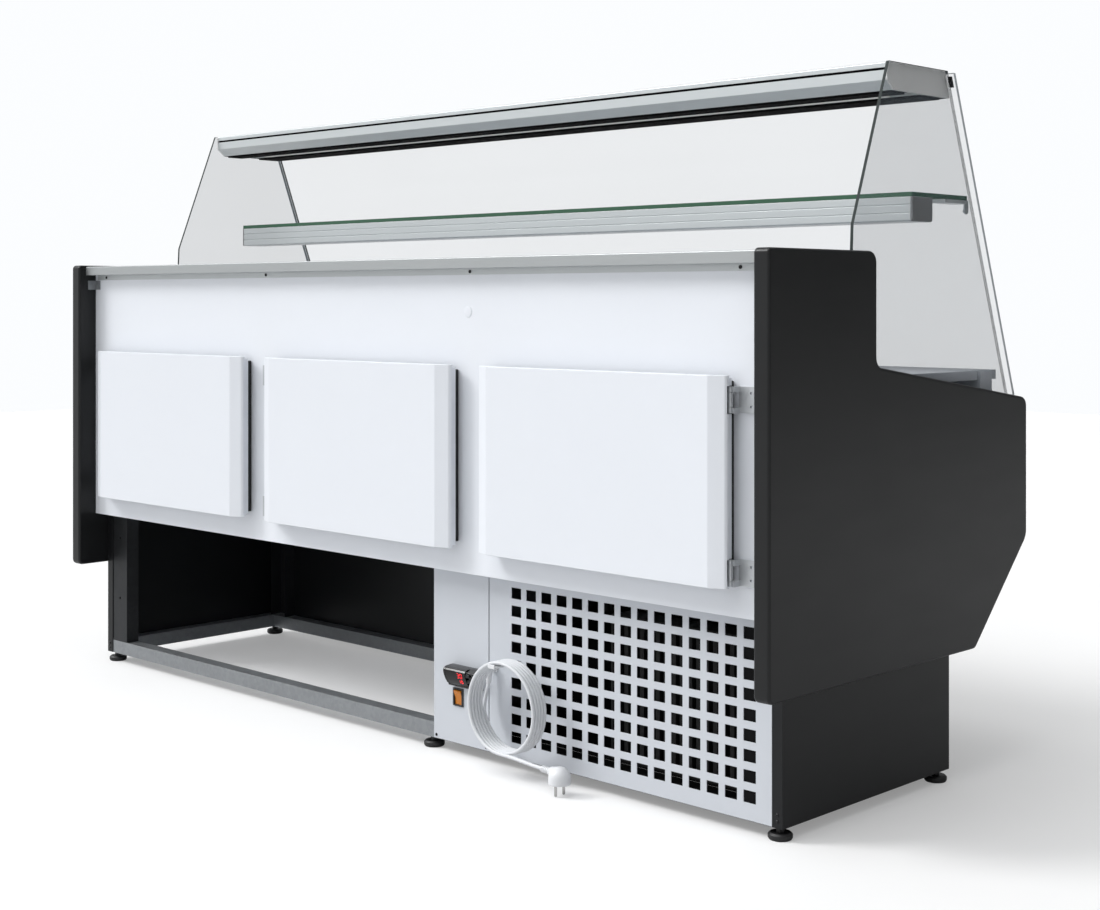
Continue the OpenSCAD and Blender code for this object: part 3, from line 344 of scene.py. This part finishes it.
# %% The edge softener
def new_piece(name, bm, node_or_body, finish, slot=None):
    mesh = bpy.data.meshes.new(name)
    bm.to_mesh(mesh)
    bm.free()
    for polygon in mesh.polygons:
        polygon.use_smooth = True
    mesh.set_sharp_from_angle(angle=math.radians(32))
    for material in (finish if isinstance(finish, (list, tuple)) else [finish]):
        mesh.materials.append(material)
    piece = bpy.data.objects.new(name, mesh)
    bpy.context.scene.collection.objects.link(piece)
    even = piece.modifiers.new("even_shading", "WEIGHTED_NORMAL")
    even.keep_sharp = True
    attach(piece, body_of.get(node_or_body, node_or_body))
    if node_or_body in slot_of:
        slot = slot or slot_of[node_or_body]
    return piece


def whole_faces(node):
    bm = bmesh.new()
    bm.from_mesh(frame["nodes"][node].data)
    bmesh.ops.remove_doubles(bm, verts=bm.verts, dist=0.01 * MM)
    bmesh.ops.dissolve_limit(bm, angle_limit=math.radians(0.5), verts=bm.verts, edges=bm.edges)
    return bm


def softened(node, finish, radius, steps=2, corner=30, name=None, sort=None, cuts=()):
    bm = whole_faces(node)
    for place, across in cuts:
        bmesh.ops.bisect_plane(bm, geom=bm.verts[:] + bm.edges[:] + bm.faces[:], dist=0.001 * MM,
                               plane_co=Vector(place) * MM, plane_no=across)
    limit = math.radians(corner)
    sharp = [e for e in bm.edges if len(e.link_faces) == 2 and e.calc_face_angle() > limit]
    bmesh.ops.bevel(bm, geom=sharp, offset=radius, segments=steps, profile=0.5, affect="EDGES",
                    material=-1, clamp_overlap=True)
    if sort:
        for face in bm.faces:
            face.material_index = sort(face)
    piece = new_piece(name or node + "_dressed", bm, node, finish)
    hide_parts(node)
    return piece


# %% Sheets, boards, doors and profiles
door_crease, usual_corner = 12, 30              # degrees past which an edge is rounded
edge_radii = {                                  # finish, radius in millimetres and steps
    "end_panel_left": (black_board, 5.0, 5), "end_panel_right": (black_board, 5.0, 5),
    "front_fascia": (black_board, 1.0, 2), "base_panels": (black_sheet, 0.5, 2),
    # The controller and grille panels take the greyer coat, partly painted shade.
    "controller_panel": (greyer_coat_and_painted_shade, 0.4, 2), "grille_panel": (greyer_coat_and_painted_shade, 0.3, 1),
    "rear_skin": (wall_coat, 0.3, 1), "evaporator_cover": (wall_coat, 0.4, 1),
    "door_left": (door_lacquer, 2.0, 3), "door_middle": (door_lacquer, 2.0, 3),
    "door_right": (door_lacquer, 2.0, 3), "seal_left": (seal_rubber, 1.5, 2),
    "seal_middle": (seal_rubber, 1.5, 2), "seal_right": (seal_rubber, 1.5, 2),
    "hinge_leaves_left": (hinge_steel, 0.4, 2), "hinge_leaves_middle": (hinge_steel, 0.4, 2),
    "hinge_leaves_right": (hinge_steel, 0.4, 2), "hinge_frame_leaves": (hinge_steel, 0.4, 2),
    "worktop": (worktop_steel, 0.4, 2), "worktop_strip": (stainless, 0.4, 2),
    "shelf_profile": (anodised, 0.4, 2),
    "shelf_brackets": (anodised, 0.6, 2),
    # The deck's trays and rails take the same greyer coat, partly painted shade.
    "canopy_lamp": (opal, 2.0, 3), "deck_trays": (greyer_coat_and_painted_shade, 0.4, 1), "deck_rails": (greyer_coat_and_painted_shade, 1.0, 2),
    "partition_panel": (galvanised, 0.4, 1),
    # The unit base plate is black as painted shade, so the machine space reads dark through the grille.
    "unit_base_plate": (matt_black_and_painted_shade, 0.5, 1), "compressor": (matt_black_and_painted_shade, 0.8, 2),
    "fan_motors": (matt_black_and_painted_shade, 0.8, 2), "controller": (black_gloss, 0.8, 3),
    "switch_bezel": (black_plastic, 0.4, 2), "rocker": (amber, 0.6, 3),
    "button_up": (black_plastic, 0.5, 2), "button_down": (black_plastic, 0.5, 2),
    "cord_gland": (white_plastic, 0.4, 2), "cord_hook": (white_plastic, 0.8, 3),
    "foot_rear_left": (foot_rubber, 0.8, 2),
    "foot_rear_middle": (foot_rubber, 0.8, 2), "foot_rear_right": (foot_rubber, 0.8, 2),
    "foot_front_left": (foot_rubber, 0.8, 2), "foot_front_right": (foot_rubber, 0.8, 2),
}
for node, (finish, radius, steps) in edge_radii.items():
    corner = door_crease if node.startswith("door") else usual_corner
    softened(node, finish, radius * MM, steps, corner)
print("softened", len(edge_radii), "pieces")

# %% [markdown]
# ## One piece, two finishes
# Some pieces carry a second finish: the frame behind the grille is black as painted shade, so that it does
# not show through the holes, the posts carry a darker copy of the rails' zinc as painted shade, and the
# canopy is black underneath and has a painted shadow in its groove. A sorting rule looks at each face's
# middle and direction and picks the finish. Rail and post share flat faces, so two cuts part them where
# the finish changes.

# %% Pieces with two finishes
rail_top, machine_edge = 48, -175               # heights and places below are in millimetres
groove_low, groove_high = 1186.5, 1190.5
between_caps, under_brackets = 1100, 856.5


def middle(face):
    return face.calc_center_median() / MM


def frame_finish(face):
    spot = middle(face)
    # Behind the grille the frame takes the matt black, as painted shade.
    if spot.x < machine_edge:
        return 2
    # The posts above the rails take the darker zinc, as painted shade.
    return 1 if spot.z > rail_top + 1 else 0


def canopy_finish(face):
    # The groove takes the matt black as a painted shadow line; the underside's black is the moulding's own.
    groove_in_painted_shade = groove_low < middle(face).z < groove_high and abs(face.normal.x) < 0.5
    return 1 if groove_in_painted_shade or face.normal.z < -0.9 else 0


def second_below(level):
    return lambda face: int(middle(face).z < level)


softened("base_frame", [galvanised, zinc_in_painted_shade, matt_black_and_painted_shade], 0.4 * MM, 1, sort=frame_finish,
         cuts=[((0, 0, rail_top), (0, 0, 1)), ((machine_edge, 0, 0), (1, 0, 0))])
softened("canopy_profile", [anodised, matt_black_and_painted_shade], 0.6 * MM, 2, sort=canopy_finish)
softened("profile_end_caps", [cap_grey, cap_dark], 0.8 * MM, 2, sort=second_below(between_caps))
softened("fixings", [black_enamel, galvanised], 0.3 * MM, 2, sort=second_below(under_brackets))
print("two-tone pieces ready")

# %% [markdown]
# ## Pieces that keep the frame's own mesh
# Foam, fins, pipes and the like sit inside, so their shapes are right as they are and only need
# their finish.

# %% Inner pieces
# The condenser and its fan take the black fins, as painted shade.
inner = {"insulation": rigid_foam, "tank_liner": stainless, "worktop_board": sealed_board,
         "condenser": fins_black_as_painted_shade, "condenser_fan": fins_black_as_painted_shade, "evaporator": fin_metal,
         "evaporator_fan": fin_metal, "refrigerant_pipes": lagging}
for node, finish in inner.items():
    materials = frame["nodes"][node].data.materials
    materials.clear()
    materials.append(finish)

# %% [markdown]
# ## Glass panes
# Each pane is softened like the rest, and then its faces are sorted: those that look along the pane's
# normal are clear, the narrow ones round its rim carry the edge finish.

# %% Panes with polished rims
def rim(normal, spread):
    normal = Vector(normal).normalized()
    return lambda face: 0 if abs(face.normal.dot(normal)) > spread else 1


glass_slope = 0.36
softened("side_glasses", [side_glass, dark_edge], 0.5 * MM, 2, sort=rim((1, 0, 0), 0.9))
softened("front_glass", [front_pane, light_edge], 0.5 * MM, 2, sort=rim((0, -1, glass_slope), 0.97))
softened("shelf_glass", [shelf_pane, green_edge], 0.6 * MM, 2, sort=rim((0, 0, 1), 0.9))
print("panes ready")

# %% [markdown]
# ## The angled plug
# A round angled plug is two moulded bodies of revolution: a button-shaped head whose axis is upright
# and a ribbed neck whose axis is the cord's. Each is half an outline spun round its axis. The pins
# are spun too, with rounded tips.

# %% Spin a profile round an axis
def spun(name, outline, centre, axis, body, finish, slot, steps=40):
    # outline: (distance along the axis, radius), from one end on the axis to the other
    axis = Vector(axis).normalized()
    across = Vector((0, 1, 0)) if abs(axis.y) < 0.5 else Vector((1, 0, 0))
    bm = bmesh.new()
    verts = [bm.verts.new(Vector(centre) + axis * along + across * radius) for along, radius in outline]
    edges = [bm.edges.new(pair) for pair in zip(verts, verts[1:])]
    bmesh.ops.spin(bm, geom=verts + edges, cent=centre, axis=axis, angle=math.tau, steps=steps,
                   use_merge=True)
    bmesh.ops.remove_doubles(bm, verts=bm.verts, dist=0.001 * MM)
    bmesh.ops.recalc_face_normals(bm, faces=bm.faces)
    return new_piece(name, bm, body, finish, slot)


def in_mm(points):
    return [(along * MM, radius * MM) for along, radius in points]


head = (-530 * MM, 358 * MM, 19.3 * MM)
plug_head = spun("plug_head", in_mm([(0, 0), (0, 17.4), (0.5, 18.4), (1.6, 19), (12, 18.8), (16, 18),
                                     (20, 16), (24, 12.6), (27, 8), (28.6, 3), (28.9, 0)]),
                 head, (0, 0, 1), "case", white_plastic, "white_plastic")
collar = (-492 * MM, 360 * MM, 38 * MM)
ribs = [(0, 0), (0, 4.2), (0.6, 5.2)]
for rib in range(4):
    start = 1 + rib * 4
    ribs += [(start, 5.6), (start + 2.2, 5.6), (start + 2.5, 4.5), (start + 3.7, 4.5)]
plug_neck = spun("plug_neck", in_mm(ribs + [(17.2, 6.2), (22, 8.6), (30, 10.2), (38, 10.6), (38, 0)]),
                 collar, (-1, 0, -0.05), "case", white_plastic, "white_plastic")
for side, label in ((-1, "inner"), (1, "outer")):
    foot = (-530 * MM, (358 + side * 9.5) * MM, 0.3 * MM)
    spun("plug_pin_" + label, in_mm([(0, 0), (0.1, 1.0), (0.7, 1.9), (1.9, 2.4), (19.4, 2.4),
                                                 (19.4, 0)]), foot, (0, 0, 1), "case", pin_metal,
                     "hinge_steel", 24)
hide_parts("plug")
mains_cord.data.materials.append(cord_sheath)
print("plug ready")

# %% [markdown]
# ## Long mouldings
# Many parts of the case are one outline drawn out along its length. The helper below makes the outline
# a single face, extrudes it, rounds its sharp edges and closes the normals, so each moulding is just a
# list of corner points seen from the end.

# %% Draw an outline out along the case
def drawn_out(name, outline, x0, x1, body, finish, slot, radius=0.3, steps=2):
    # outline: corners (y, z) in millimetres, seen from the end
    bm = bmesh.new()
    corners = [bm.verts.new((x0 * MM, y * MM, z * MM)) for y, z in outline]
    face = bm.faces.new(corners)
    made = bmesh.ops.extrude_face_region(bm, geom=[face])["geom"]
    moved = [item for item in made if isinstance(item, bmesh.types.BMVert)]
    bmesh.ops.translate(bm, verts=moved, vec=((x1 - x0) * MM, 0, 0))
    bmesh.ops.recalc_face_normals(bm, faces=bm.faces)
    if radius:
        sharp = [e for e in bm.edges if e.calc_face_angle() > math.radians(28)]
        bmesh.ops.bevel(bm, geom=sharp, offset=radius * MM, segments=steps, profile=0.5, affect="EDGES",
                        material=-1, clamp_overlap=True)
    return new_piece(name, bm, body, finish, slot)


# %% [markdown]
# ## The canopy's ribbed underside
# Under the canopy two black mouldings flank the lamp. Their ribs run the whole length, so from below
# they read as fine dark lines. The outline is a comb, made by one loop.

# %% Ribs under the canopy
def comb(y0, y1, z_top, depth, pitch):
    count = int((y1 - y0) // pitch)
    outline = [(y0, z_top)]
    for tooth in range(count):
        left = y0 + tooth * pitch
        outline += [(left, z_top - depth), (left + pitch / 2, z_top - depth),
                    (left + pitch / 2, z_top - depth / 3), (left + pitch, z_top - depth / 3)]
    outline[-1] = (outline[-1][0], z_top)
    return outline


for label, y0, y1 in (("rear", -52, -7), ("front", -160, -98)):
    drawn_out("canopy_ribs_" + label, comb(y0, y1, 1154.9, 3, 6), -925, 925, "case", matt_black_and_painted_shade,
              "black_plastic", radius=0)

# %% [markdown]
# ## Clips, caps and screws
# Small fittings give the eye its scale: a folded clip that ties the two glasses at each top corner, a
# plug cap on the rear wall, and pan-head screws with a shallow dished top at the panels' corners.

# %% Glass clips and the wall cap
for side, label in ((-1, "right"), (1, "left")):
    ends = sorted((side * 940.4, side * 946.5))
    drawn_out("glass_clip_" + label, [(-171.2, 1172), (-165, 1190), (-160.5, 1190), (-162.5, 1181),
                                      (-166.8, 1172)], *ends, "case", black_plastic, "black_plastic")
wall_cap = spun("wall_cap", in_mm([(0, 0), (0, 10), (0.7, 9.6), (1.3, 8), (1.5, 0)]),
                (-285 * MM, 334 * MM, 792 * MM), (0, 1, 0), "case", wall_coat, "white_plastic", 48)


# %% Panel screws
def pan_head(name, x, y, z, finish):
    return spun(name, in_mm([(0, 0), (0, 2.9), (0.6, 2.8), (1.3, 2.1), (1.6, 1.2), (1.2, 0.6), (1.2, 0)]),
                (x * MM, y * MM, z * MM), (0, 1, 0), "case", finish, "black_steel", 20)


rear_face = 303                                 # where the heads sit, in millimetres
for number, x in enumerate([-168, -298]):
    pan_head("panel_screw_%d" % number, x, rear_face, 27, black_enamel)
for number, (x, z) in enumerate([(-930, 30), (-930, 40), (930, 30), (930, 40)]):
    pan_head("base_screw_%d" % number, x, rear_face, z, black_enamel)
print("fittings ready")

# %% [markdown]
# ## The controller's lens and display
# The controller's front is a glossy black lens with a rounded brow, split near its left end by a fine
# joint. The digits lie on its curve. Each is a few short bars with cut corners, as on a real
# seven-segment display.

# %% The lens
lens_middle = 143.5
lens_curve = [(311, -17), (318, -12), (322.2, -5), (325.3, 2), (327.2, 8), (327.4, 12), (325, 15.5),
              (320, 17.8), (311, 18.3)]
lens_back = [(306, 18), (306, -17)]
lens_span, shoulder_span = (-268.5, -217), (-216.8, -211.8)
lens_outline = [(y, lens_middle + z) for y, z in lens_curve + lens_back]
drawn_out("display_lens", lens_outline, *lens_span, "case", black_gloss, "black_plastic", 0.7, 3)
drawn_out("display_shoulder", lens_outline, *shoulder_span, "case", black_gloss, "black_plastic", 0.9, 3)


# %% Seven-segment digits
def lens_y(z):
    for (y0, z0), (y1, z1) in zip(lens_curve, lens_curve[1:]):
        if z0 <= z <= z1:
            return y0 + (y1 - y0) * (z - z0) / (z1 - z0)


segments_of = {"0": "abcdef", "1": "bc", "3": "abgcd"}
bars = {"a": (0, 2, 1), "g": (0, 0, 1), "d": (0, -2, 1), "b": (1, 1, 0), "c": (1, -1, 0),
        "f": (-1, 1, 0), "e": (-1, -1, 0)}       # column, row and whether the bar lies flat
bar_w, bar_t, lift = 0.6, 0.3, 0.25             # a bar's width and thickness, and its height off the lens
first_digit, digit_gap = -250.5, 3.2
bm = bmesh.new()
for text, row, bar_l in (("30", 5.6, 4.3), ("10", -5.4, 3.2)):
    slope = math.atan2(lens_y(row + 3) - lens_y(row - 3), 6)
    for place, digit in enumerate(text):
        across = first_digit - place * (bar_l + digit_gap)
        centre = Vector((across, lens_y(row) + lift, lens_middle + row))
        for bar in segments_of[digit]:
            column, line, lying = bars[bar]
            made = bmesh.ops.create_circle(bm, segments=6, radius=0.5, cap_ends=True)["verts"]
            bmesh.ops.scale(bm, verts=made, vec=(bar_l * 0.98, bar_w * 1.15, 1))
            made += [v for v in bmesh.ops.extrude_face_region(bm, geom=[made[0].link_faces[0]])["geom"]
                     if isinstance(v, bmesh.types.BMVert)]
            bmesh.ops.translate(bm, verts=made[6:], vec=(0, 0, bar_t))
            if not lying:
                bmesh.ops.rotate(bm, verts=made, matrix=Matrix.Rotation(math.radians(90), 3, "Z"))
            bmesh.ops.rotate(bm, verts=made, matrix=Matrix.Rotation(math.radians(-90) - slope, 3, "X"))
            offset = Vector((-column * bar_l / 2, line * bar_l / 2 * math.sin(slope),
                             line * bar_l / 2 * math.cos(slope)))
            bmesh.ops.translate(bm, verts=made, vec=centre + offset)
bmesh.ops.scale(bm, verts=bm.verts, vec=(MM, MM, MM))
bmesh.ops.recalc_face_normals(bm, faces=bm.faces)
digits = new_piece("display_digits", bm, "case", red_digits, "amber_plastic")
print("display ready")

# %% [markdown]
# ## A plain studio
# A pale floor, a surround that is brighter on the doors' side than behind the case, and two soft suns:
# one from the side that gives the doors their shadows, and a weaker, wider one from above. What the
# camera sees of the surround and the floor is lifted towards white with the Light Path node, which
# leaves the light on the case as it is.

# %% Floor and light
world = bpy.data.worlds.new("studio")
walls = Recipe("studio", world, Color=(0.97, 0.985, 1, 1))
direction = walls.node("ShaderNodeTexCoord", {}, {}, "Generated")
facing = walls.node("ShaderNodeVectorMath", {"operation": "DOT_PRODUCT"},
                    {0: direction, 1: Vector((0.60, 0.62, 0.50))}, "Value")
level = facing * 0.42 + 0.43
seen = walls.node("ShaderNodeLightPath", {}, {}, "Is Camera Ray")
walls.feed("Strength", level * (1 - seen) + seen)
bpy.context.scene.world = world
bm = bmesh.new()
bmesh.ops.create_grid(bm, x_segments=1, y_segments=1, size=9)
floor_mesh = bpy.data.meshes.new("floor")
bm.to_mesh(floor_mesh)
bm.free()
floor = bpy.data.objects.new("floor", floor_mesh)
bpy.context.scene.collection.objects.link(floor)
floor_paint = Recipe("pale_floor", Roughness=0.9, Emission_Strength=1.0)
shown = floor_paint.node("ShaderNodeLightPath", {}, {}, "Is Camera Ray")
floor_paint.feed("Emission Color", floor_paint.blend(shown, grey(0), grey(0.26)))
floor_paint.feed("Base Color", floor_paint.blend(floor_paint.noise(0.5), grey(0.64), grey(0.68)))
floor_mesh.materials.append(floor_paint.material)


suns = {"side": (1.75, 20, (0.60, 0.48, 0.64)), "top": (0.9, 40, (0.1, 0.35, 0.93))}
for label, (energy, spread, towards) in suns.items():
    sun = bpy.data.lights.new(label + "_light", "SUN")
    sun.energy = energy
    sun.angle = math.radians(spread)
    lamp = bpy.data.objects.new(label + "_light", sun)
    lamp.rotation_euler = Vector(towards).to_track_quat("Z", "Y").to_euler()
    bpy.context.scene.collection.objects.link(lamp)
print("studio ready")
